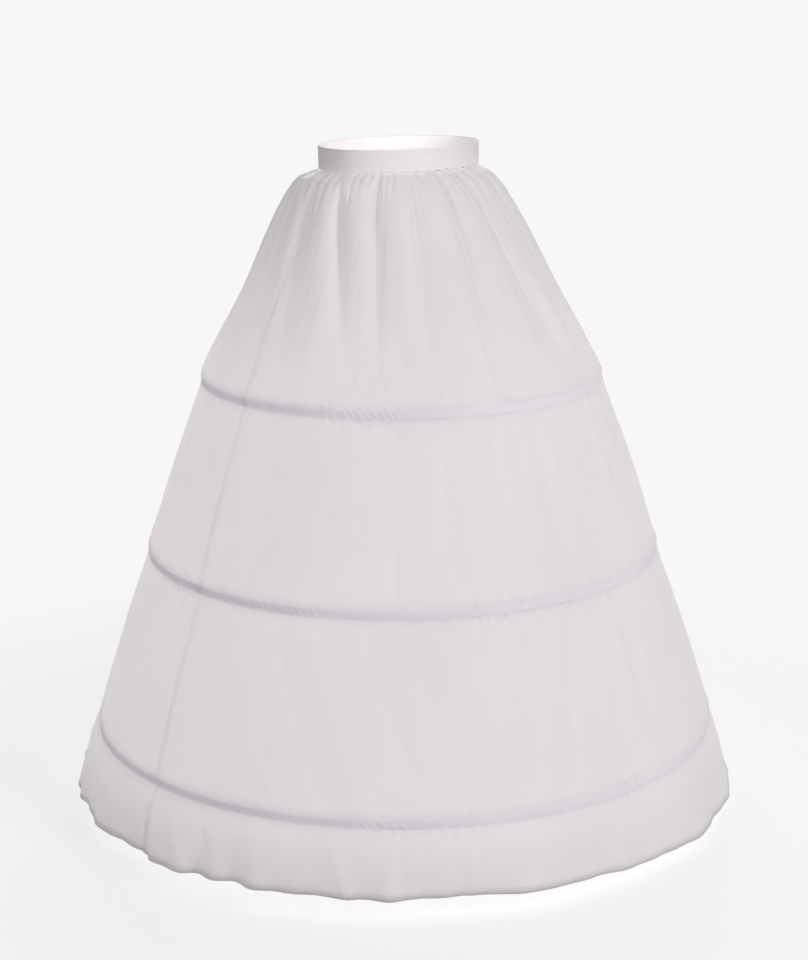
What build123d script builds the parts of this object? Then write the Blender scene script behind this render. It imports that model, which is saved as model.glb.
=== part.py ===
# Hoop skirt: a cloth petticoat, gathered into an elastic waistband and held out by three steel hoops.
# The wearer faces -Y, +Z is up, and the origin is the middle of the waistband's top edge.
import os
from math import asin, cos, degrees, hypot, pi, sin

from build123d import *

os.makedirs("parts", exist_ok=True)

# Skirt: lengths are measured down from the top edge of the waistband
skirt_length = 914.0
hem_diameter = 963.0
cloth_thickness = 0.8
sewing_clearance = 0.3

# Waistband: a woven elastic, stretched to an oval
waist_width = 240.0
waist_depth = 190.0
waistband_height = 30.0
waistband_thickness = 2.0
tuck_height = 10.0

# Gathers below the waistband, which run together into long folds
gathers_per_panel = 18
tucked_gather_depth = 2.0
gather_depth = 10.0
fold_depth = 10.0
folds_round_skirt = 17
flare_drop_shares = (0.07, 0.34)
flare_shares = (0.135, 0.415)
gather_shares = (1.0, 0.5)
fold_shares = (0.2, 1.0)
uneven_share = 0.35

# Ripples of the loose hem
hem_ripple_depth = 12.0
hem_ripples = 19
flounce_break_share = 0.35
flounce_flare_share = 0.55

# Hoops: flat coated spring steel, each bent into a ring that stops just short of closing
upper_hoop_diameter = 568.0
middle_hoop_diameter = 734.0
lower_hoop_diameter = 898.0
upper_hoop_drop = 325.0
middle_hoop_drop = 571.0
lower_hoop_drop = 825.0
hoop_width = 10.0
hoop_thickness = 1.6
hoop_end_gap = 2.0

# Joiners: a flat sleeve over the two ends of each hoop, at the middle of the back
joiner_length = 32.0
joiner_wall = 0.4
joiner_play = 0.05

# Casings: a tape inside the cloth at each hoop, sewn along both edges
casing_height = 26.0
casing_thickness = 0.8
ridge_rise = 5.0
ridge_fall = 2.4

hoops = (
    ("upper", upper_hoop_diameter / 2, upper_hoop_drop),
    ("middle", middle_hoop_diameter / 2, middle_hoop_drop),
    ("lower", lower_hoop_diameter / 2, lower_hoop_drop),
)

# Room between a hoop and the cloth, enough for the wall of its joiner
pocket_room = joiner_play + joiner_wall + sewing_clearance

# Each gather is one crest and one hollow, so a panel is this many straight facets wide
columns = 2 * gathers_per_panel
column_angle = pi / columns
flat_to_corner = 1 / cos(column_angle / 2)
flat_tolerance = cloth_thickness / 1000


def panel_radius_at(hoop_radius):
    """Outer radius of the cloth where it lies over a hoop."""
    return hoop_radius + pocket_room + cloth_thickness


def oval_radius(angle):
    """Radius of the inside of the waistband."""
    half_width = waist_width / 2
    half_depth = waist_depth / 2
    return half_width * half_depth / hypot(half_depth * cos(angle), half_width * sin(angle))


def unevenness(angle):
    """Share of the full depth that a gather or fold has at this place round the skirt."""
    return 1 - uneven_share * (1 + sin(5 * angle) * cos(2 * angle + 1)) / 2


def long_fold(angle):
    """Soft folds that the gathers run into, at uneven spacing."""
    return cos(folds_round_skirt * angle + sin(2 * angle) + cos(3 * angle)) * unevenness(angle)


def hem_ripple(angle):
    """Ripples of the hem, deepest on the wearer's right."""
    return cos(hem_ripples * angle + cos(2 * angle)) * (3 - cos(angle)) / 4


# Levels of a panel from the top down: drop, flare, circle radius, gather, fold and ripple depths.
# Flare 0 follows the oval waistband and flare 1 follows the circle of a hoop.
levels = []
for tuck_drop in (waistband_height - tuck_height, waistband_height):
    levels.append((tuck_drop, 0, 0, tucked_gather_depth, 0, 0))

upper_radius = panel_radius_at(upper_hoop_diameter / 2) - ridge_rise
gathered_length = upper_hoop_drop - casing_height / 2 - waistband_height
for drop_share, flare_share, gather_share, fold_share in zip(
    flare_drop_shares, flare_shares, gather_shares, fold_shares
):
    drop = waistband_height + drop_share * gathered_length
    levels.append(
        (drop, flare_share, upper_radius, gather_share * gather_depth, fold_share * fold_depth, 0)
    )

for name, hoop_radius, hoop_drop in hoops:
    ridge_radius = panel_radius_at(hoop_radius)
    levels.append((hoop_drop - casing_height / 2, 1, ridge_radius - ridge_rise, 0, 0, 0))
    levels.append((hoop_drop - hoop_width / 2 - pocket_room, 1, ridge_radius, 0, 0, 0))
    levels.append((hoop_drop + hoop_width / 2 + pocket_room, 1, ridge_radius, 0, 0, 0))
    levels.append((hoop_drop + casing_height / 2, 1, ridge_radius - ridge_fall, 0, 0, 0))

flounce_radius = panel_radius_at(lower_hoop_diameter / 2) - ridge_fall
flounce_drop = lower_hoop_drop + casing_height / 2
flounce_flare = hem_diameter / 2 - flounce_radius
break_drop = flounce_drop + flounce_break_share * (skirt_length - flounce_drop)
break_radius = flounce_radius + flounce_flare_share * flounce_flare
levels.append((break_drop, 1, break_radius, 0, 0, flounce_break_share * hem_ripple_depth))
levels.append((skirt_length, 1, hem_diameter / 2, 0, 0, hem_ripple_depth))


def panel_edge(level, first_angle, inset):
    """Points across a panel at one level, from side seam to side seam."""
    drop, flare_share, circle_radius, gather, fold, ripple = level
    points = []
    for column in range(columns + 1):
        angle = first_angle + column * column_angle
        crest = 1 if column % 2 == 0 else -1
        waist_radius = oval_radius(angle) - sewing_clearance - tucked_gather_depth / 2
        radius = (1 - flare_share) * waist_radius + flare_share * circle_radius * flat_to_corner
        radius += crest * unevenness(angle) * gather / 2
        radius += long_fold(angle) * fold / 2 + hem_ripple(angle) * ripple / 2
        radius -= inset
        points.append(Vector(radius * cos(angle), radius * sin(angle), -drop))
    return points


def strip_faces(upper, lower):
    """Flat faces between two edges of a panel: a four-sided one where the corners lie in one plane."""
    faces = []
    for column in range(columns):
        a, b = upper[column], upper[column + 1]
        d, c = lower[column], lower[column + 1]
        twist = abs((b - a).cross(d - a).normalized().dot(c - a))
        if twist < flat_tolerance:
            faces.append(Face(Wire.make_polygon([a, b, c, d])))
        else:
            faces.append(Face(Wire.make_polygon([a, b, d])))
            faces.append(Face(Wire.make_polygon([b, c, d])))
    return faces


# Front and back panels: each a half of the skirt, from side seam to side seam
for panel_name, first_angle in (("front_panel", -pi), ("back_panel", 0.0)):
    outside = [panel_edge(level, first_angle, 0) for level in levels]
    inside = [panel_edge(level, first_angle, cloth_thickness) for level in levels]
    faces = []
    for side in (outside, inside):
        for upper, lower in zip(side, side[1:]):
            faces += strip_faces(upper, lower)
    for end in (0, -1):
        faces.append(Face(Wire.make_polygon(outside[end] + inside[end][::-1])))
        seam = [edge[end] for edge in outside] + [edge[end] for edge in reversed(inside)]
        faces.append(Face(Wire.make_polygon(seam)))
    with BuildPart() as panel:
        add(Solid(Shell(faces)))
    panel.part.label = panel_name
    export_step(panel.part, f"parts/{panel_name}.step")

# Waistband
with BuildPart() as waistband:
    with BuildSketch(Plane.XY.offset(-waistband_height)):
        Ellipse(waist_width / 2 + waistband_thickness, waist_depth / 2 + waistband_thickness)
        Ellipse(waist_width / 2, waist_depth / 2, mode=Mode.SUBTRACT)
    extrude(amount=waistband_height)
waistband.part.label = "waistband"
export_step(waistband.part, "parts/waistband.step")


def radial_plane(angle):
    """Upright plane through the skirt's axis: x runs outwards at the angle, y runs up."""
    return Plane(
        origin=(0, 0, 0), x_dir=(cos(angle), sin(angle), 0), z_dir=(sin(angle), -cos(angle), 0)
    )


# Hoops, their joiners and their casings
back_angle = pi / 2
for name, hoop_radius, hoop_drop in hoops:
    hoop_middle = (hoop_radius - hoop_thickness / 2, -hoop_drop)

    half_gap_angle = asin(hoop_end_gap / 2 / hoop_radius)
    with BuildPart() as hoop:
        with BuildSketch(radial_plane(back_angle + half_gap_angle)):
            with Locations(hoop_middle):
                Rectangle(hoop_thickness, hoop_width)
        revolve(axis=Axis.Z, revolution_arc=degrees(2 * (pi - half_gap_angle)))
    hoop.part.label = f"{name}_hoop"
    export_step(hoop.part, f"parts/{name}_hoop.step")

    half_joiner_angle = asin(joiner_length / 2 / hoop_radius)
    bore_thickness = hoop_thickness + 2 * joiner_play
    bore_width = hoop_width + 2 * joiner_play
    with BuildPart() as joiner:
        with BuildSketch(radial_plane(back_angle - half_joiner_angle)):
            with Locations(hoop_middle):
                Rectangle(bore_thickness + 2 * joiner_wall, bore_width + 2 * joiner_wall)
                Rectangle(bore_thickness, bore_width, mode=Mode.SUBTRACT)
        revolve(axis=Axis.Z, revolution_arc=degrees(2 * half_joiner_angle))
    joiner.part.label = f"{name}_joiner"
    export_step(joiner.part, f"parts/{name}_joiner.step")

    # The tape lies in the same flats as the cloth that it is sewn to
    inside_radius = panel_radius_at(hoop_radius) - cloth_thickness - sewing_clearance
    top_plane = Plane.XY.offset(casing_height / 2 - hoop_drop)
    bottom_plane = Plane.XY.offset(-casing_height / 2 - hoop_drop)
    with BuildPart() as casing:
        for wall, mode in ((0, Mode.ADD), (casing_thickness, Mode.SUBTRACT)):
            with BuildSketch(top_plane):
                RegularPolygon((inside_radius - ridge_rise - wall) * flat_to_corner, 2 * columns)
            with BuildSketch(bottom_plane):
                RegularPolygon((inside_radius - ridge_fall - wall) * flat_to_corner, 2 * columns)
            loft(ruled=True, mode=mode)
    casing.part.label = f"{name}_casing"
    export_step(casing.part, f"parts/{name}_casing.step")
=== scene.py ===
from math import cos, pi, radians, sin

import bpy
import numpy as np
from mathutils import Euler, Matrix, Vector


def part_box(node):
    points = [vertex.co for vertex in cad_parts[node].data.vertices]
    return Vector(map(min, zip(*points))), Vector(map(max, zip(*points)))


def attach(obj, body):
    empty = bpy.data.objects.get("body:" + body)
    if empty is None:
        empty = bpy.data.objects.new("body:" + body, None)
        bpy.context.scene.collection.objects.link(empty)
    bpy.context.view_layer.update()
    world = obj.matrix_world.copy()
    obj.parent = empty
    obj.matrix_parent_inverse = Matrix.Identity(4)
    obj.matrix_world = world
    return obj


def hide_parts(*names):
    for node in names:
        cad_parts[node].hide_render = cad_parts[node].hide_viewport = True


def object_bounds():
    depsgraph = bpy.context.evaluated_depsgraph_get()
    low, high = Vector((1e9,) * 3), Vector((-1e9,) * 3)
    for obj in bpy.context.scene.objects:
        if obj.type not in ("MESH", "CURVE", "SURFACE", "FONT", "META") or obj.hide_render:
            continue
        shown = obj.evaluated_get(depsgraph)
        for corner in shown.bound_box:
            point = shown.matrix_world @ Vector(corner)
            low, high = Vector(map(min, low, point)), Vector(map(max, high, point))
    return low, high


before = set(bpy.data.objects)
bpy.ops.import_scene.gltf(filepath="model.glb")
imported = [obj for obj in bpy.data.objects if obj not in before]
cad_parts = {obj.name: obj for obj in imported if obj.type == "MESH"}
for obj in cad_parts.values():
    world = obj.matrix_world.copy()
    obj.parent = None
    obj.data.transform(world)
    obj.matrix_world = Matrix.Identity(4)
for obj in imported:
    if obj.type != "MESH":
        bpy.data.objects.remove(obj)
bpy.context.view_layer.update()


# Front and back panels: thin white polyester lining, cut as two flared halves of the skirt.
# The top edge is drawn up on a thread into the waistband, so it falls in gathers and long folds.
# Three hoops push the cloth out into ridges, and the hem, turned up once, hangs free below them.
def hoop_ring(node_name):
    """Radius of a steel hoop and its drop below the top edge of the skirt."""
    low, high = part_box(node_name)
    return (high[0] - low[0]) / 2, -(low[2] + high[2]) / 2


hoop_names = ("upper", "middle", "lower")
hoops = [hoop_ring(name + "_hoop") for name in hoop_names]
band_low, band_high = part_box("waistband")
band_height = band_high[2] - band_low[2]
band_thickness = 0.002
waist_half_width = band_high[0] - band_thickness
waist_half_depth = band_high[1] - band_thickness
skirt_length = -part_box("front_panel")[0][2]
hem_radius = 0.4815
tuck_height = 0.010
tuck_inset = 0.0016

# The cloth over each hoop: the sewn lines above and below it, and how far they lie behind the ridge
cloth_cover = 0.0008
ridge_half_height = 0.0043
tunnel_above = 0.0080
tunnel_below = 0.0070
ridge_rise = 0.0019
ridge_fall = 0.0007

# The side that the camera looks at, from which the places of folds and creases are counted
camera_turn = radians(-41)
facing_camera = camera_turn - pi / 2


def fade(value, start, end):
    """Smooth step from 0 at start to 1 at end; start may be above end."""
    share = np.clip((value - start) / (end - start), 0, 1)
    return share * share * (3 - 2 * share)


def waves(angle, drop, rounds, climbs, count, seed):
    """Uneven waves that close round the skirt, with a mean square of one.

    rounds is the fewest and most waves round the skirt, climbs the most waves in a metre of drop."""
    draw = np.random.RandomState(seed)
    total = np.zeros_like(angle)
    for _ in range(count):
        turns = draw.randint(rounds[0], rounds[1] + 1)
        climb = draw.uniform(-climbs, climbs) * 2 * pi
        total += np.sin(turns * angle + climb * drop + draw.uniform(0, 2 * pi))
    return total * np.sqrt(2 / count)


def turn_from(angle, degrees_from_camera):
    """Angle round the skirt from a place given in degrees to the right of the camera's side."""
    return np.mod(angle - facing_camera - np.radians(degrees_from_camera) + pi, 2 * pi) - pi


def oval_radius(angle, inset):
    """Radius of the inside of the waistband, less an inset."""
    a = waist_half_width - inset
    b = waist_half_depth - inset
    return a * b / np.hypot(b * np.cos(angle), a * np.sin(angle))


flounce_break_drop = 0.3
flounce_break_flare = 0.36


def cone_radius(drop):
    """Radius of the taut cloth between the sewn lines of the hoops, without the ridges."""
    drops = []
    radii = []
    for radius, hoop_drop in hoops:
        drops += [hoop_drop - tunnel_above, hoop_drop + tunnel_below]
        radii += [radius + cloth_cover - ridge_rise, radius + cloth_cover - ridge_fall]
    flounce = skirt_length - drops[-1]
    drops += [drops[-1] + flounce_break_drop * flounce, skirt_length]
    radii += [radii[-1] + flounce_break_flare * (hem_radius - radii[-1]), hem_radius]
    return np.interp(drop, drops, radii)


# Creases of the gathered edge and the valleys of the long folds: degrees from the camera's side,
# strength, and how many degrees it leans to the right, in 100 mm for a crease and 200 mm for a fold
seen_creases = [
    (-61, 1.2, 18), (-53, 0.8, 8), (-46, 0.9, 8), (-40, 0.6, 8), (-30, 0.6, 8), (-25, 0.5, 3),
    (-19.5, 0.6, 2), (-14, 1.4, 2), (-8.5, 0.6, 0), (-4, 0.6, -3), (1.5, 0.6, 3), (7, 1.0, 4),
    (11, 0.6, 3), (15.5, 1.0, 5), (20, 0.6, 0), (25, 0.8, -3), (29.5, 0.6, -2), (34, 1.2, -4),
    (38.5, 0.6, 2), (43, 0.8, 5), (47.5, 0.6, 4), (52, 1.1, 4), (60, 0.9, 4),
]
seen_folds = [
    (-66, 0.9, 2), (-52, 1.0, 9), (-36.5, 1.4, 17), (-15, 1.3, 7), (8, 1.1, 1), (32, 1.1, 1),
    (53, 1.1, 5), (70, 0.9, 2),
]
valley_draw = np.random.RandomState(5)


def hidden_valleys(turns, shift, strengths, lean):
    """Creases or folds for the sides that aren't seen, drawn near evenly spaced places."""
    valleys = []
    for turn in turns:
        valleys.append((turn + valley_draw.uniform(-shift, shift),
                        valley_draw.uniform(*strengths),
                        valley_draw.uniform(-lean, lean)))
    return valleys


hidden_creases = hidden_valleys(np.linspace(66, 290, 28), shift=2.5, strengths=(0.5, 1.3), lean=9)
hidden_folds = hidden_valleys(np.linspace(84, 280, 12), shift=4, strengths=(0.7, 1.2), lean=4)

crease_depth = 0.0086
crease_widths = (0.0030, 0.0044)
crease_widening = 0.06
crease_reaches = (0.026, 0.046)
crease_lean_drop = 0.1
fold_depth = 0.0116
fold_soft_side = 0.020
fold_steep_side = 0.009
fold_start = 0.05
fold_lean_drop = 0.2
fold_wide_drop = 0.2
streak_depth = 0.00018
streak_end = 0.12


def gathered_cloth(angle, drop, radius):
    """How far the creases and folds of the top tier lie behind the crests of the cloth."""
    below = drop - band_height
    hang = np.maximum(below, 0)
    tier = hoops[0][1] - tunnel_above - band_height
    draw = np.random.RandomState(21)
    back = np.zeros_like(angle)
    for turn, strength, lean in seen_creases + hidden_creases:
        reach = draw.uniform(*crease_reaches) * (0.6 + 0.7 * strength)
        width = draw.uniform(*crease_widths)
        away = np.abs(turn_from(angle, turn + lean * hang / crease_lean_drop)) * radius
        depth = crease_depth * strength * fade(below, -0.003, 0.005) * np.exp(-((hang / reach) ** 1.4))
        back += depth * np.exp(-((away / (width + crease_widening * hang)) ** 1.05))
    for turn, strength, lean in seen_folds + hidden_folds:
        away = turn_from(angle, turn + lean * below / fold_lean_drop) * radius
        width = np.where(away > 0, fold_soft_side, fold_steep_side)
        width = width * (0.45 + 0.9 * fade(below, 0, fold_wide_drop))
        depth = fold_depth * strength * fade(below, 0.0, fold_start) * fade(below, tier, tier * 0.6)
        back += depth * np.exp(-((np.abs(away) / width) ** 1.3))
    streaks = waves(angle, drop, rounds=(60, 140), climbs=1.5, count=14, seed=31)
    back += streak_depth * streaks * fade(below, 0.0, fold_start) * fade(below, tier, streak_end)
    return back


# Single creases seen on the cloth: start and end as degrees from the camera's side and drop,
# then width and height in millimetres; a height below zero is a groove
seen_strokes = [
    (-32.3, 0.076, -29.5, 0.117, 8.0, -2.0),
    (-29.5, 0.117, -23.5, 0.205, 10.0, -2.0), (-10.5, 0.115, -9.5, 0.215, 10.0, -1.6),
    (-15.0, 0.060, -10.5, 0.115, 7.0, -2.8), (32.0, 0.035, 31.5, 0.200, 6.0, -2.6),
    (52.5, 0.036, 56.0, 0.205, 6.0, -2.6), (-11.6, 0.258, -13.5, 0.307, 3.4, 2.6),
    (-8.2, 0.292, -4.9, 0.272, 3.0, 1.9), (-4.9, 0.272, -2.5, 0.302, 3.0, 2.1),
    (-3.7, 0.287, -0.3, 0.270, 3.0, 1.5), (-50.3, 0.313, -51.8, 0.285, 3.4, 1.6),
    (-46.9, 0.312, -44.9, 0.283, 3.4, 1.8), (27.4, 0.258, 28.7, 0.307, 4.0, -1.5),
    (28.7, 0.307, 33.9, 0.311, 3.6, -1.2), (-47.3, 0.195, -48.1, 0.245, 3.0, 2.4),
    (34.2, 0.225, 37.8, 0.266, 4.0, -1.5), (51.0, 0.208, 52.7, 0.268, 4.5, -1.8),
    (60.2, 0.205, 65.1, 0.277, 4.5, -1.8), (-30.0, 0.255, -33.0, 0.300, 4.0, 1.6),
    (14.0, 0.262, 11.5, 0.306, 3.6, 1.5), (-1.2, 0.350, -1.3, 0.546, 9.0, -4.8),
    (24.6, 0.356, 22.5, 0.520, 10.0, -5.0), (-14.4, 0.341, -16.5, 0.371, 3.5, 1.0),
    (-11.4, 0.503, -9.6, 0.559, 4.0, 0.8), (7.0, 0.345, 9.0, 0.395, 4.0, 0.7),
    (-33.0, 0.520, -31.0, 0.558, 4.0, 0.8), (-18.3, 0.606, -7.5, 0.798, 18.0, 6.6),
    (-24.5, 0.630, -14.5, 0.795, 14.0, -4.0),
    (-8.0, 0.596, 1.7, 0.770, 16.0, -6.2), (26.0, 0.618, 22.8, 0.792, 9.0, -4.8),
    (34.5, 0.628, 31.4, 0.791, 9.0, -4.8), (-25.0, 0.770, -22.5, 0.812, 4.5, 0.8),
    (13.0, 0.760, 15.5, 0.812, 4.5, 0.9), (-49.3, 0.840, -46.6, 0.914, 7.0, -3.6),
    (-42.7, 0.846, -37.4, 0.914, 9.0, 4.0), (-36.9, 0.838, -34.4, 0.872, 5.0, -2.4),
    (-12.0, 0.850, -8.9, 0.914, 10.0, 3.6), (-0.9, 0.840, -0.6, 0.914, 12.0, -2.8),
    (10.3, 0.858, 10.2, 0.914, 9.0, 2.0), (15.5, 0.844, 14.3, 0.903, 5.0, -1.0),
    (27.1, 0.834, 24.1, 0.856, 4.0, 1.2), (23.8, 0.834, 22.0, 0.852, 3.5, 1.0),
]
hidden_stroke_drops = (0.290, 0.360, 0.545, 0.610, 0.790, 0.870)
strokes_per_drop = 7
millimetre = 0.001


def hidden_strokes():
    """Short creases for the sides that aren't seen, near the hoops and down the tiers."""
    draw = np.random.RandomState(77)
    strokes = []
    for middle in hidden_stroke_drops:
        for _ in range(strokes_per_drop):
            turn = draw.uniform(75, 285)
            reach = draw.uniform(0.02, 0.045)
            end_turn = turn + draw.uniform(-3, 3)
            width = draw.uniform(3.5, 6.0)
            height = draw.uniform(0.7, 1.5) * draw.choice([-1, 1])
            strokes.append((turn, middle - reach / 2, end_turn, middle + reach / 2, width, height))
    return strokes


def stroke_heights(angle, drop, radius):
    """How far the single creases stand out from the cloth."""
    out = np.zeros_like(angle)
    for turn_a, drop_a, turn_b, drop_b, width, height in seen_strokes + hidden_strokes():
        across = turn_from(angle, turn_a) * radius
        down = drop - drop_a
        run_across = radians(turn_b - turn_a) * radius
        run_down = drop_b - drop_a
        length_squared = run_across ** 2 + run_down ** 2
        along = np.clip((across * run_across + down * run_down) / length_squared, 0, 1)
        away = np.hypot(across - along * run_across, down - along * run_down)
        out += height * millimetre * np.exp(-((away / (width * millimetre)) ** 1.6))
    return out


slack_start = 0.12
broad_slack = 0.0026
narrow_slack = 0.0010
pucker_depth = 0.0004
pucker_reach = 0.008
drag_depth = 0.0009
drag_start = 0.006
drag_reach = 0.026
hem_ripples = 19
hem_belly = 0.005
ripple_depth = 0.0022
ripple_gain = 0.0020
frill_depth = 0.0004
frill_gain = 0.0024


def hung_cloth(angle, drop):
    """Slack of the cloth between the hoops, puckers along the sewn lines and ripples of the hem.

    The hem ripples most on the wearer's right."""
    out = np.zeros_like(angle)
    tiers = [(band_height + slack_start, hoops[0][1])]
    tiers += [(above[1], below[1]) for above, below in zip(hoops, hoops[1:])]
    for number, (top, bottom) in enumerate(tiers):
        slack = np.sin(pi * np.clip((drop - top) / (bottom - top), 0, 1)) ** 0.8
        broad = waves(angle, drop, rounds=(5, 16), climbs=1.2, count=10, seed=41 + number)
        narrow = waves(angle, drop, rounds=(24, 56), climbs=2.5, count=14, seed=51 + number)
        out += broad_slack * slack * broad
        out += narrow_slack * slack * narrow
    for number, (radius, hoop_drop) in enumerate(hoops):
        pucker_rounds = (int(radius * 300), int(radius * 520))
        drag_rounds = (int(radius * 110), int(radius * 240))
        puckers = waves(angle, drop, pucker_rounds, climbs=14, count=16, seed=61 + number)
        drags = waves(angle, drop, drag_rounds, climbs=3, count=14, seed=65 + number)
        patches = waves(angle, drop, rounds=(4, 11), climbs=0, count=6, seed=71 + number)
        patches = np.clip(patches, 0, 1.6)
        reach = np.maximum(hoop_drop - tunnel_above - drop, drop - hoop_drop - tunnel_below)
        near = np.exp(-((reach / pucker_reach) ** 2))
        out += pucker_depth * puckers * near * (0.3 + patches)
        under = np.clip(drop - hoop_drop - tunnel_below, 0, None)
        drag = drag_depth * drags * (0.4 + patches)
        out += drag * fade(under, 0, drag_start) * np.exp(-under / drag_reach)
    flounce_top = hoops[2][1] + tunnel_below
    hang = np.clip((drop - flounce_top) / (skirt_length - flounce_top), 0, 1)
    wearers_right = 0.5 - 0.5 * np.cos(angle)
    uneven = waves(angle, drop, rounds=(9, 15), climbs=1.0, count=4, seed=81)
    ripple = np.cos(hem_ripples * angle + np.cos(2 * angle)) + 0.6 * uneven
    frill = waves(angle, drop, rounds=(32, 58), climbs=1.5, count=8, seed=82)
    out += hem_belly * np.sin(pi * hang ** 0.7) * wearers_right ** 2
    out += hang ** 1.2 * (ripple_depth + ripple_gain * wearers_right ** 2) * ripple
    out += hang ** 1.8 * (frill_depth + frill_gain * wearers_right ** 3) * frill
    return out


puff_start = 0.014
right_puff = 0.017
right_puff_reach = 0.16
left_puff = 0.007
left_puff_reach = 0.24


def side_puff(angle, below):
    """How far the gathers spring out below the band at the two sides, most on the wearer's right."""
    side = np.sin(turn_from(angle, 0))
    right = np.clip(-side, 0, 1) ** 1.5 * np.exp(-((below / right_puff_reach) ** 2))
    left = np.clip(side, 0, 1) ** 1.5 * np.exp(-((below / left_puff_reach) ** 2))
    return fade(below, 0, puff_start) * (right_puff * right + left_puff * left)


# Stretches where the tunnel is eased on and its cloth twists like a rope: hoop, from and to in
# degrees from the camera's side, and strength
rope_patches = [
    (0, -50, -38, 1.0), (0, -16, 1, 1.0), (0, 70, 120, 0.7), (0, 190, 240, 0.7),
    (1, -39, -16, 1.0), (1, 40, 55, 0.4), (1, 100, 170, 0.7), (1, 230, 280, 0.7),
    (2, -11, 5, 1.0), (2, -75, -60, 0.5), (2, 90, 140, 0.7), (2, 200, 260, 0.7),
]
rope_pitches = (0.0098, 0.0104, 0.0110)
rope_depth = 0.0008
rope_slant = 0.7
least_rope = 0.10

spring_out = 0.10
spring_share = 0.06
seam_groove = 0.0013
seam_groove_width = 0.0035
seam_dip = 0.0008
seam_dip_width = 0.016
seam_start = 0.03


def cloth_radius(angle, drop):
    """Radius of the outside of the cloth at an angle round the skirt and a drop below its top."""
    tunnel_top = hoops[0][1] - tunnel_above
    share = np.clip((drop - band_height) / (tunnel_top - band_height), 0, 1)
    flare = share + spring_out * (1 - np.exp(-share / spring_share)) * (1 - share) ** 0.7
    top_tier = (1 - flare) * oval_radius(angle, tuck_inset) + flare * cone_radius(tunnel_top)
    crest = np.where(drop < tunnel_top, top_tier, cone_radius(drop))
    crest = crest + side_puff(angle, np.maximum(drop - band_height, 0))
    radius = crest - np.where(drop < tunnel_top, gathered_cloth(angle, drop, crest), 0.0)
    radius = radius + hung_cloth(angle, drop) + stroke_heights(angle, drop, crest)
    seam_away = np.abs(np.sin(angle)) * radius
    groove = seam_groove * np.exp(-((seam_away / seam_groove_width) ** 2))
    dip = seam_dip * np.exp(-((seam_away / seam_dip_width) ** 2))
    radius = radius - (groove + dip) * fade(drop, band_height, band_height + seam_start)
    for number, (hoop_radius, hoop_drop) in enumerate(hoops):
        down = drop - hoop_drop
        over = fade(down, -tunnel_above, -ridge_half_height)
        over = over * fade(down, tunnel_below, ridge_half_height)
        patch = np.full_like(angle, least_rope)
        for which, turn_a, turn_b, strength in rope_patches:
            if which == number:
                middle = (turn_a + turn_b) / 2
                half = radians(turn_b - turn_a) / 2
                patch += strength * fade(np.abs(turn_from(angle, middle)), half * 1.1, half * 0.7)
        rounds = round(2 * pi * hoop_radius / rope_pitches[number])
        uneven = 1.2 * waves(angle, drop, rounds=(7, 30), climbs=0, count=6, seed=95 + number)
        twist = np.sin(rounds * angle - rope_slant * rounds * down / hoop_radius + uneven)
        ridge = hoop_radius + cloth_cover + rope_depth * np.minimum(patch, 1) * (0.7 + twist)
        radius = radius + over * (ridge - radius)
    return radius


hem_droop = 0.012


def cloth_height(angle, drop):
    """Height of the cloth: level, but for the hem, which hangs a little lower at two sides."""
    low = fade(drop, hoops[2][1] + tunnel_below, skirt_length)
    side = np.sin(turn_from(angle, 0))
    return -drop - low * hem_droop * side ** 2 * (1.3 + 0.5 * side)


def spaced(start, end, step):
    """Drops from start up to end, at about a step apart, without the end."""
    return list(np.linspace(start, end, max(2, round((end - start) / step) + 1))[:-1])


# Rows of the panels' mesh from the top down, in runs of the drop where one ends and its step:
# finest where the cloth bends most, at the gathers and over the hoops
over_hoop = 0.0085
near_hoop = 0.016
off_hoop = 0.05
row_runs = [
    (band_height, 0.0034), (band_height + 0.03, 0.0022), (band_height + 0.09, 0.0043),
    (0.255, 0.0095), (hoops[0][1] - near_hoop, 0.0034),
]
for number, (_, hoop_drop) in enumerate(hoops):
    if number > 0:
        row_runs += [(hoops[number - 1][1] + off_hoop, 0.0058), (hoop_drop - off_hoop, 0.0128),
                     (hoop_drop - near_hoop, 0.0058)]
    row_runs += [(hoop_drop - over_hoop, 0.0026), (hoop_drop + over_hoop, 0.0013),
                 (hoop_drop + near_hoop, 0.0026)]
row_runs.append((skirt_length, 0.0058))
row_drops = []
run_start = band_height - tuck_height
for run_end, step in row_runs:
    row_drops += spaced(run_start, run_end, step)
    run_start = run_end
row_drops = np.array(row_drops + [skirt_length])


def ring_points(angle, radius, height):
    """Points at angles round the skirt's axis."""
    return np.stack([radius * np.cos(angle), radius * np.sin(angle), height], axis=-1)


def grid_piece(name, points, uv, closed):
    """A mesh piece from a grid of points, rows downwards; closed joins the last column to the first."""
    rows, across = points.shape[:2]
    index = np.arange(rows * across).reshape(rows, across)
    after = np.roll(index, -1, axis=1)
    if not closed:
        index, after = index[:, :-1], after[:, :-1]
    quads = np.stack([index[:-1], index[1:], after[1:], after[:-1]], axis=-1).reshape(-1, 4)
    mesh = bpy.data.meshes.new(name)
    mesh.from_pydata(points.reshape(-1, 3).tolist(), [], quads.tolist())
    mesh.update()
    layer = mesh.uv_layers.new(name="cloth")
    corners = np.empty(len(mesh.loops), dtype=np.int32)
    mesh.loops.foreach_get("vertex_index", corners)
    layer.data.foreach_set("uv", uv.reshape(-1, 2)[corners].astype(np.float32).ravel())
    mesh.polygons.foreach_set("use_smooth", np.ones(len(mesh.polygons), dtype=bool))
    piece = bpy.data.objects.new(name, mesh)
    bpy.context.collection.objects.link(piece)
    return piece


panel_columns = 540
hem_turn_up = 0.008
hem_fold_gap = 0.0008
hem_slope = 0.36
turn_up_shares = (0.02, 0.12, 0.4, 0.7, 1.0)


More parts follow.
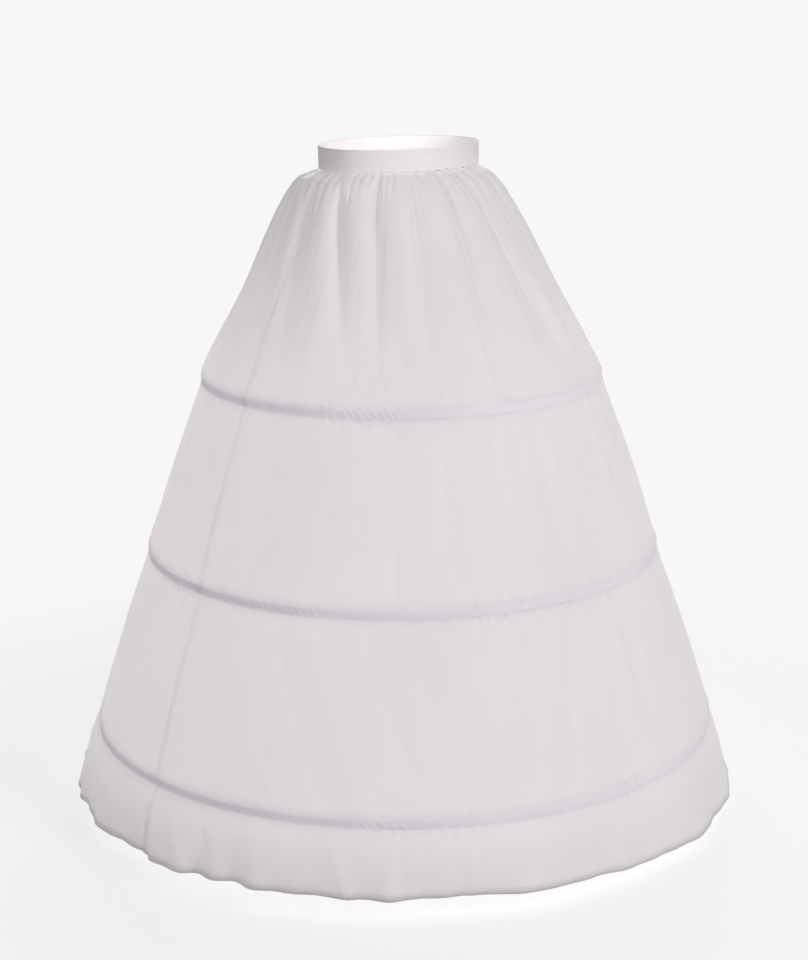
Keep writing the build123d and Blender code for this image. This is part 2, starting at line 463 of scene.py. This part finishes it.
def panel_piece(name, first_angle):
    """One half of the skirt, from side seam to side seam, with its hem turned up inside."""
    columns = np.linspace(first_angle, first_angle + pi, panel_columns + 1)
    angle, drop = np.meshgrid(columns, row_drops)
    radius = cloth_radius(angle, drop)
    height = cloth_height(angle, drop)
    hem = radius[-1]
    hem_height = height[-1]
    for share in turn_up_shares:
        angle = np.vstack([angle, columns])
        radius = np.vstack([radius, hem - hem_fold_gap - hem_slope * share * hem_turn_up])
        height = np.vstack([height, hem_height + share * hem_turn_up])
    slope = np.cumsum(np.hypot(np.diff(radius[:, 0]), np.diff(height[:, 0])))
    down = np.concatenate([[0], slope])
    across = (angle - first_angle) * radius.mean()
    uv = np.stack([across, np.broadcast_to(down[:, None], angle.shape)], axis=-1)
    return grid_piece(name, ring_points(angle, radius, height), uv, closed=False)


def linear(hex_colour):
    """An sRGB hex colour as linear red, green, blue and one for alpha."""
    values = [int(hex_colour[i:i + 2], 16) / 255 for i in (1, 3, 5)]
    return tuple(v / 12.92 if v <= 0.04045 else ((v + 0.055) / 1.055) ** 2.4 for v in values) + (1.0,)


def node(tree, kind, settings=None, inputs=None):
    """Adds a node with its settings; an input is a value, or the socket that feeds it."""
    made = tree.nodes.new(kind)
    for key, value in (settings or {}).items():
        setattr(made, key, value)
    for key, value in (inputs or {}).items():
        if isinstance(value, bpy.types.NodeSocket):
            tree.links.new(value, made.inputs[key])
        else:
            made.inputs[key].default_value = value
    return made


def new_material(name):
    """An empty material and the tree that its section fills."""
    material = bpy.data.materials.new(name)
    material.use_nodes = True
    material.node_tree.nodes.clear()
    return material, material.node_tree


# Patterns of the cloth by the metre: faint patches of about 140 mm where it is worn a little greyer, and
# a grain of about 1.1 mm, because the real threads, about 0.1 mm apart, are too fine to show
patches_per_metre = 7.0
threads_per_metre = 900.0
frill_through = 0.74


def lining_cloth(name, hex_colour, hex_shade, gathered_through, spread_through):
    """Polyester lining: fine plain weave, smooth, faintly shiny, and letting light through.

    Less light comes through where the cloth is drawn up close, at the waistband and in the loose frill,
    than where it is spread out between the hoops."""
    material, tree = new_material(name)
    place = node(tree, "ShaderNodeTexCoord").outputs["Object"]
    patches = node(tree, "ShaderNodeTexNoise",
                   inputs={"Vector": place, "Scale": patches_per_metre, "Detail": 3.0})
    tint = node(tree, "ShaderNodeMix", {"data_type": "RGBA"},
                {"Factor": patches.outputs["Fac"], "A": linear(hex_colour), "B": linear(hex_shade)})
    threads = node(tree, "ShaderNodeTexNoise",
                   inputs={"Vector": place, "Scale": threads_per_metre, "Detail": 2.0})
    grain = node(tree, "ShaderNodeBump",
                 inputs={"Height": threads.outputs["Fac"], "Strength": 0.08, "Distance": 0.0002})
    surface = node(tree, "ShaderNodeBsdfPrincipled",
                   inputs={"Base Color": tint.outputs["Result"], "Normal": grain.outputs["Normal"],
                           "Roughness": 0.5, "Sheen Weight": 0.12, "Sheen Roughness": 0.4})
    glow = node(tree, "ShaderNodeBsdfTranslucent",
                inputs={"Color": tint.outputs["Result"], "Normal": grain.outputs["Normal"]})
    height = node(tree, "ShaderNodeSeparateXYZ", inputs={"Vector": place})
    through = node(tree, "ShaderNodeMapRange", {"interpolation_type": "SMOOTHSTEP"},
                   {"Value": height.outputs["Z"], "From Min": -hoops[0][1], "From Max": -band_height,
                    "To Min": spread_through, "To Max": gathered_through})
    frill = node(tree, "ShaderNodeMapRange", {"interpolation_type": "SMOOTHSTEP"},
                 {"Value": height.outputs["Z"], "From Min": -skirt_length, "From Max": -hoops[2][1],
                  "To Min": frill_through, "To Max": 1.0})
    share = node(tree, "ShaderNodeMath", {"operation": "MULTIPLY"},
                 {0: through.outputs["Result"], 1: frill.outputs["Result"]})
    both = node(tree, "ShaderNodeMixShader",
                inputs={0: share.outputs[0], 1: surface.outputs[0], 2: glow.outputs[0]})
    node(tree, "ShaderNodeOutputMaterial", inputs={"Surface": both.outputs[0]})
    return material


skirt_cloth = lining_cloth("white_lining_cloth", "#F0EDEF", "#E9E5E8",
                           gathered_through=0.33, spread_through=0.78)
panels = {}
for panel_name, first_angle in (("front_panel", -pi), ("back_panel", 0.0)):
    panel = panel_piece(panel_name + "_cloth", first_angle)
    panel.data.materials.append(skirt_cloth)
    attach(panel, "root")
    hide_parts(panel_name)
    panels[panel_name] = (panel, first_angle)


# Side seams: the two edges of cloth that are left inside when the panels are joined.
# They are trimmed narrow, overlocked together and pressed to the front.
allowance_start = 0.0002
allowance_width = 0.011
allowance_inset = 0.0005
allowance_columns = 5
allowance_cloth = lining_cloth("seam_allowance_cloth", "#F9F8F8", "#F6F4F5",
                               gathered_through=0.90, spread_through=0.92)
for name, seam_angle, side in (("right_seam", -pi, 1), ("left_seam", 0.0, -1)):
    drop = np.broadcast_to(row_drops[:, None], (len(row_drops), allowance_columns))
    across = np.linspace(allowance_start, allowance_width, allowance_columns)
    across = np.broadcast_to(across, drop.shape)
    angle = seam_angle + side * across / cone_radius(drop)
    radius = cloth_radius(angle, drop) - allowance_inset
    points = ring_points(angle, radius, cloth_height(angle, drop))[:, ::side]
    allowance = grid_piece(name + "_allowance", points, np.stack([across, drop], axis=-1), closed=False)
    allowance.data.materials.append(allowance_cloth)
    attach(allowance, "root")


# Stitches: white polyester thread in a lockstitch, along both edges of each tunnel and along the hem.
# They sit in the cloth of their panel, so each panel's stitches are one piece that belongs to it.
least_stitch = 0.85
most_stitch = 1.1


def stitch_tree(thread_material):
    """Node tree that lays one stitch at each step along the edges of a mesh line."""
    tree = bpy.data.node_groups.new("stitch_line", "GeometryNodeTree")
    face = tree.interface
    face.new_socket("Geometry", in_out="INPUT", socket_type="NodeSocketGeometry")
    for label in ("Stitch pitch", "Stitch length", "Thread width"):
        face.new_socket(label, in_out="INPUT", socket_type="NodeSocketFloat")
    face.new_socket("Seed", in_out="INPUT", socket_type="NodeSocketInt")
    face.new_socket("Geometry", in_out="OUTPUT", socket_type="NodeSocketGeometry")
    given = node(tree, "NodeGroupInput")
    line = node(tree, "GeometryNodeMeshToCurve", inputs={"Mesh": given.outputs["Geometry"]})
    steps = node(tree, "GeometryNodeResampleCurve", {"mode": "LENGTH"},
                 {"Curve": line.outputs["Curve"], "Length": given.outputs["Stitch pitch"]})
    tangent = node(tree, "GeometryNodeInputTangent")
    turned = node(tree, "FunctionNodeAlignRotationToVector", {"axis": "X"},
                  {"Vector": tangent.outputs["Tangent"]})
    size = node(tree, "ShaderNodeCombineXYZ",
                inputs={"X": given.outputs["Stitch length"], "Y": given.outputs["Thread width"],
                        "Z": given.outputs["Thread width"]})
    bead = node(tree, "GeometryNodeMeshIcoSphere", inputs={"Radius": 0.5, "Subdivisions": 1})
    vary = node(tree, "FunctionNodeRandomValue", {"data_type": "FLOAT"},
                {2: least_stitch, 3: most_stitch, "Seed": given.outputs["Seed"]})
    scaled = node(tree, "ShaderNodeVectorMath", {"operation": "SCALE"},
                  {0: size.outputs["Vector"], "Scale": vary.outputs[1]})
    laid = node(tree, "GeometryNodeInstanceOnPoints",
                inputs={"Points": steps.outputs["Curve"], "Instance": bead.outputs["Mesh"],
                        "Rotation": turned.outputs["Rotation"], "Scale": scaled.outputs["Vector"]})
    real = node(tree, "GeometryNodeRealizeInstances", inputs={"Geometry": laid.outputs["Instances"]})
    painted = node(tree, "GeometryNodeSetMaterial",
                   inputs={"Geometry": real.outputs["Geometry"], "Material": thread_material})
    node(tree, "NodeGroupOutput", inputs={"Geometry": painted.outputs["Geometry"]})
    return tree


def stitched_lines(name, lines, tree, sizes):
    """A piece with stitches along lists of points, as a plain mesh."""
    mesh = bpy.data.meshes.new(name)
    vertices = []
    edges = []
    for line in lines:
        first = len(vertices)
        vertices += line.tolist()
        edges += [(i, i + 1) for i in range(first, len(vertices) - 1)]
    mesh.from_pydata(vertices, edges, [])
    piece = bpy.data.objects.new(name, mesh)
    bpy.context.collection.objects.link(piece)
    modifier = piece.modifiers.new("stitches", "NODES")
    modifier.node_group = tree
    for item in tree.interface.items_tree:
        if item.item_type == "SOCKET" and item.in_out == "INPUT" and item.name in sizes:
            modifier[item.identifier] = sizes[item.name]
    bpy.context.view_layer.update()
    evaluated = piece.evaluated_get(bpy.context.evaluated_depsgraph_get())
    made = bpy.data.meshes.new_from_object(evaluated)
    piece.modifiers.remove(modifier)
    piece.data = made
    made.name = name
    return piece


# Spun polyester thread: a dull white, close to the cloth's, so the stitches show by their shape
thread, tree = new_material("white_thread")
surface = node(tree, "ShaderNodeBsdfPrincipled",
               inputs={"Base Color": linear("#EFECEE"), "Roughness": 0.6})
node(tree, "ShaderNodeOutputMaterial", inputs={"Surface": surface.outputs[0]})
thread_sizes = {"Stitch pitch": 0.0032, "Stitch length": 0.0024, "Thread width": 0.00045, "Seed": 3}
thread_rise = 0.0001
hem_stitch_inset = 0.002
stitch_line_points = 901
stitch_drops = [hoop_drop + step for _, hoop_drop in hoops for step in (-tunnel_above, tunnel_below)]
stitch_drops.append(skirt_length - hem_turn_up + hem_stitch_inset)
lockstitch = stitch_tree(thread)
for panel_name, (panel, first_angle) in panels.items():
    columns = np.linspace(first_angle, first_angle + pi, stitch_line_points)
    lines = []
    for stitch_drop in stitch_drops:
        drop = np.full_like(columns, stitch_drop)
        radius = cloth_radius(columns, drop) + thread_rise
        lines.append(ring_points(columns, radius, cloth_height(columns, drop)))
    stitches = stitched_lines(panel_name + "_stitches", lines, lockstitch, thread_sizes)
    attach(stitches, "root")


# Casings: a tape of the same lining, sewn inside the panels by the two lines of stitches at each hoop.
# Tape and panel make the tunnel that the steel is threaded through.
tape_inset = 0.0007
tape_half_height = 0.0128
tape_room = 0.0032
tape_pucker = 0.0004
sewn_edge = 0.001
tape_flat_half = 0.0045
tape_columns = 720
tape_rows = 13
tape_cloth = lining_cloth("casing_tape_cloth", "#FBFAFA", "#F8F6F7",
                          gathered_through=0.96, spread_through=0.96)
for name, (hoop_radius, hoop_drop) in zip(hoop_names, hoops):
    columns = np.linspace(0, 2 * pi, tape_columns, endpoint=False)
    angle, down = np.meshgrid(columns, np.linspace(-tape_half_height, tape_half_height, tape_rows))
    drop = hoop_drop + down
    edge = cloth_radius(angle, drop) - tape_inset
    puckers = waves(angle, drop, rounds=(30, 90), climbs=20, count=8, seed=101)
    behind = hoop_radius - tape_room - tape_pucker * (1 + puckers / 3)
    slack = fade(down, -tunnel_above - sewn_edge, -tape_flat_half)
    slack = slack * fade(down, tunnel_below + sewn_edge, tape_flat_half)
    radius = edge + slack * (np.minimum(behind, edge) - edge)
    uv = np.stack([angle * hoop_radius, drop], axis=-1)
    tape = grid_piece(name + "_casing_tape", ring_points(angle, radius, -drop), uv, closed=True)
    tape.data.materials.append(tape_cloth)
    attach(tape, "root")
    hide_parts(name + "_casing")


# Hoops and joiners: flat spring steel in a white plastic coat, bent into a ring.
# A short steel sleeve is crimped over the two ends where they meet at the back.
def hoop_steel(name, hex_colour, metallic, marks_per_metre, roughness):
    """Steel, coated or bare, with fine marks that make its gloss uneven."""
    material, tree = new_material(name)
    place = node(tree, "ShaderNodeTexCoord").outputs["Object"]
    marks = node(tree, "ShaderNodeTexNoise",
                 inputs={"Vector": place, "Scale": marks_per_metre, "Detail": 4.0})
    shine = node(tree, "ShaderNodeMapRange",
                 inputs={"Value": marks.outputs["Fac"], "To Min": roughness[0], "To Max": roughness[1]})
    surface = node(tree, "ShaderNodeBsdfPrincipled",
                   inputs={"Base Color": linear(hex_colour), "Metallic": metallic,
                           "Roughness": shine.outputs["Result"]})
    node(tree, "ShaderNodeOutputMaterial", inputs={"Surface": surface.outputs[0]})
    return material


# The drawn-on coat has a soft gloss with scuffs of about 17 mm, where it was pulled through its tunnel.
# The crimped sleeve is bare and brighter, with rubs of about 4 mm from the tool.
coated_steel = hoop_steel("white_coated_steel", "#EDEDF0", metallic=0.0,
                          marks_per_metre=60.0, roughness=(0.32, 0.5))
joiner_steel = hoop_steel("crimped_steel", "#D6D8DA", metallic=1.0,
                          marks_per_metre=240.0, roughness=(0.28, 0.45))
for name in hoop_names:
    for kind, material in (("hoop", coated_steel), ("joiner", joiner_steel)):
        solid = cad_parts[f"{name}_{kind}"]
        solid.data.materials.clear()
        solid.data.materials.append(material)


# Waistband: woven elastic with cords of rubber along its length, which show as ribs.
# It is sewn, stretched, over the gathered edge, so its lower edge rides a little over the gathers.
ribs = 10
rib_depth = 0.00035
edge_swell = 0.00014
edge_lift = 0.0004
band_columns = 560
band_steps = 81
down = np.linspace(0, 1, band_steps)
rib = rib_depth * np.abs(np.sin(pi * ribs * down)) ** 0.7
side_rise = np.concatenate([band_thickness - rib_depth + rib, (rib_depth - rib)[::-1]])
side_drop = np.concatenate([down, down[::-1]]) * band_height
columns = np.linspace(0, 2 * pi, band_columns, endpoint=False)
angle, rise = np.meshgrid(columns, side_rise)
drop = np.broadcast_to(side_drop[:, None], angle.shape)
normal = np.stack([waist_half_depth * np.cos(columns), waist_half_width * np.sin(columns)], axis=-1)
normal /= np.linalg.norm(normal, axis=-1, keepdims=True)
swell = edge_swell * waves(angle, drop, rounds=(30, 46), climbs=0, count=8, seed=121)
swell = swell * (drop / band_height) ** 2
lift = edge_lift * waves(angle, drop, rounds=(30, 46), climbs=0, count=8, seed=122)
lift = lift * (drop / band_height) ** 3
points = np.stack([waist_half_width * np.cos(angle) + normal[:, 0] * (rise + swell),
                   waist_half_depth * np.sin(angle) + normal[:, 1] * (rise + swell),
                   np.minimum(lift - drop, 0)], axis=-1)
points = np.concatenate([points, points[:1]])
waistband = grid_piece("waistband_elastic", points, np.zeros(points.shape[:2] + (2,)), closed=True)

# Woven elastic: matt and bright white, with a soft bloom and a weave drawn at about 1.4 mm,
# twice as coarse as the real one, so that it shows
yarns_per_metre = 700.0
elastic, tree = new_material("woven_elastic")
place = node(tree, "ShaderNodeTexCoord").outputs["Object"]
weave = node(tree, "ShaderNodeTexNoise",
             inputs={"Vector": place, "Scale": yarns_per_metre, "Detail": 2.0})
bump = node(tree, "ShaderNodeBump",
            inputs={"Height": weave.outputs["Fac"], "Strength": 0.25, "Distance": 0.0003})
surface = node(tree, "ShaderNodeBsdfPrincipled",
               inputs={"Base Color": linear("#FFFAFA"), "Roughness": 0.75,
                       "Normal": bump.outputs["Normal"], "Sheen Weight": 0.4, "Sheen Roughness": 0.6})
node(tree, "ShaderNodeOutputMaterial", inputs={"Surface": surface.outputs[0]})
waistband.data.materials.append(elastic)
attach(waistband, "root")
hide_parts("waistband")


# Studio: a pale floor just under the hem, soft lamps and the photograph's camera.
# The floor shades off into the white of the backdrop a little way from the skirt.
backdrop = linear("#F7F7F7")
floor_half = 30.0
floor_gap = 0.01
floor_fade = (1.02, 1.6)
floor_lift = 0.75
ambient = 0.18
floor_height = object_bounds()[0][2] - floor_gap
floor_corners = [(x * floor_half, y * floor_half, floor_height)
                 for x, y in ((-1, -1), (1, -1), (1, 1), (-1, 1))]
floor_mesh = bpy.data.meshes.new("floor")
floor_mesh.from_pydata(floor_corners, [], [(0, 1, 2, 3)])
floor = bpy.data.objects.new("floor", floor_mesh)
bpy.context.collection.objects.link(floor)


def seen_directly(tree):
    """One for rays from the camera, from shine and through clear things, and zero for the rest."""
    path = node(tree, "ShaderNodeLightPath")
    either = node(tree, "ShaderNodeMath", {"operation": "MAXIMUM"},
                  {0: path.outputs["Is Camera Ray"], 1: path.outputs["Is Glossy Ray"]})
    return node(tree, "ShaderNodeMath", {"operation": "MAXIMUM"},
                {0: either.outputs[0], 1: path.outputs["Is Transmission Ray"]}).outputs[0]


# Matt paint that takes the skirt's shadow, lifted towards the backdrop where it is seen directly
floor_paint, tree = new_material("pale_floor")
seen = seen_directly(tree)
place = node(tree, "ShaderNodeTexCoord").outputs["Object"]
length = node(tree, "ShaderNodeVectorMath", {"operation": "LENGTH"}, {0: place})
far = node(tree, "ShaderNodeMapRange", {"interpolation_type": "SMOOTHSTEP"},
           {"Value": length.outputs["Value"], "From Min": floor_fade[0], "From Max": floor_fade[1]})
paint = node(tree, "ShaderNodeBsdfDiffuse", inputs={"Color": linear("#949494")})
lift_strength = node(tree, "ShaderNodeMath", {"operation": "MULTIPLY"}, {0: seen, 1: floor_lift})
lift = node(tree, "ShaderNodeEmission",
            inputs={"Color": backdrop, "Strength": lift_strength.outputs[0]})
near_floor = node(tree, "ShaderNodeAddShader", inputs={0: paint.outputs[0], 1: lift.outputs[0]})
white = node(tree, "ShaderNodeEmission", inputs={"Color": backdrop, "Strength": 1.0})
far_seen = node(tree, "ShaderNodeMath", {"operation": "MULTIPLY"}, {0: seen, 1: far.outputs["Result"]})
both = node(tree, "ShaderNodeMixShader",
            inputs={0: far_seen.outputs[0], 1: near_floor.outputs[0], 2: white.outputs[0]})
node(tree, "ShaderNodeOutputMaterial", inputs={"Surface": both.outputs[0]})
floor_mesh.materials.append(floor_paint)

world = bpy.data.worlds.new("studio")
bpy.context.scene.world = world
world.use_nodes = True
tree = world.node_tree
tree.nodes.clear()
air = node(tree, "ShaderNodeBackground", inputs={"Color": (1.0, 1.0, 1.0, 1.0), "Strength": ambient})
wall = node(tree, "ShaderNodeBackground", inputs={"Color": backdrop, "Strength": 1.0})
both = node(tree, "ShaderNodeMixShader",
            inputs={0: seen_directly(tree), 1: air.outputs[0], 2: wall.outputs[0]})
node(tree, "ShaderNodeOutputWorld", inputs={"Surface": both.outputs[0]})


def place_round(turn, distance, height):
    """A place round the skirt, turned in degrees to the right of the camera's side."""
    angle = facing_camera + radians(turn)
    return Vector((distance * cos(angle), distance * sin(angle), height))


def hang_lamp(light, place, aim_height):
    """Adds a lamp at a place, pointed at a height on the skirt's axis."""
    lamp = bpy.data.objects.new(light.name, light)
    lamp.location = place
    aim = Vector((0, 0, aim_height)) - lamp.location
    lamp.rotation_euler = aim.to_track_quat("-Z", "Y").to_euler()
    bpy.context.collection.objects.link(lamp)


def soft_box(name, turn, distance, height, size, watts):
    """A square soft box that looks at the middle of the skirt."""
    light = bpy.data.lights.new(name, "AREA")
    light.shape = "SQUARE"
    light.size = size
    light.energy = watts
    hang_lamp(light, place_round(turn, distance, height), aim_height=-0.45)


soft_box("key_box", turn=46, distance=3.0, height=0.8, size=1.2, watts=46)
soft_box("front_box", turn=5, distance=3.0, height=0.6, size=1.2, watts=11)
soft_box("fill_box", turn=-70, distance=3.0, height=0.5, size=2.0, watts=2)
soft_box("back_box", turn=180, distance=3.0, height=0.6, size=2.0, watts=60)
spot = bpy.data.lights.new("waist_spot", "SPOT")
spot.energy = 190
spot.spot_size = radians(9)
spot.spot_blend = 1.0
spot.shadow_soft_size = 0.3
hang_lamp(spot, place_round(turn=-40, distance=2.6, height=0.35), aim_height=-0.02)

camera_data = bpy.data.cameras.new("camera")
camera_data.sensor_width = 36.0
camera_data.lens = 77.85
camera_distance = 2.9117
camera_height = 0.2739
camera_aside = 0.0025
camera_pitch = 0.2550
camera_roll = -0.0095
camera = bpy.data.objects.new("camera", camera_data)
camera.location = place_round(0, camera_distance, camera_height)
camera.location += Vector((cos(camera_turn), sin(camera_turn), 0)) * camera_aside
level = Euler((pi / 2 - camera_pitch, 0, camera_turn)).to_matrix()
camera.rotation_euler = (level @ Matrix.Rotation(camera_roll, 3, "Z")).to_euler()
bpy.context.collection.objects.link(camera)
bpy.context.scene.camera = camera
bpy.context.scene.view_settings.view_transform = "Standard"
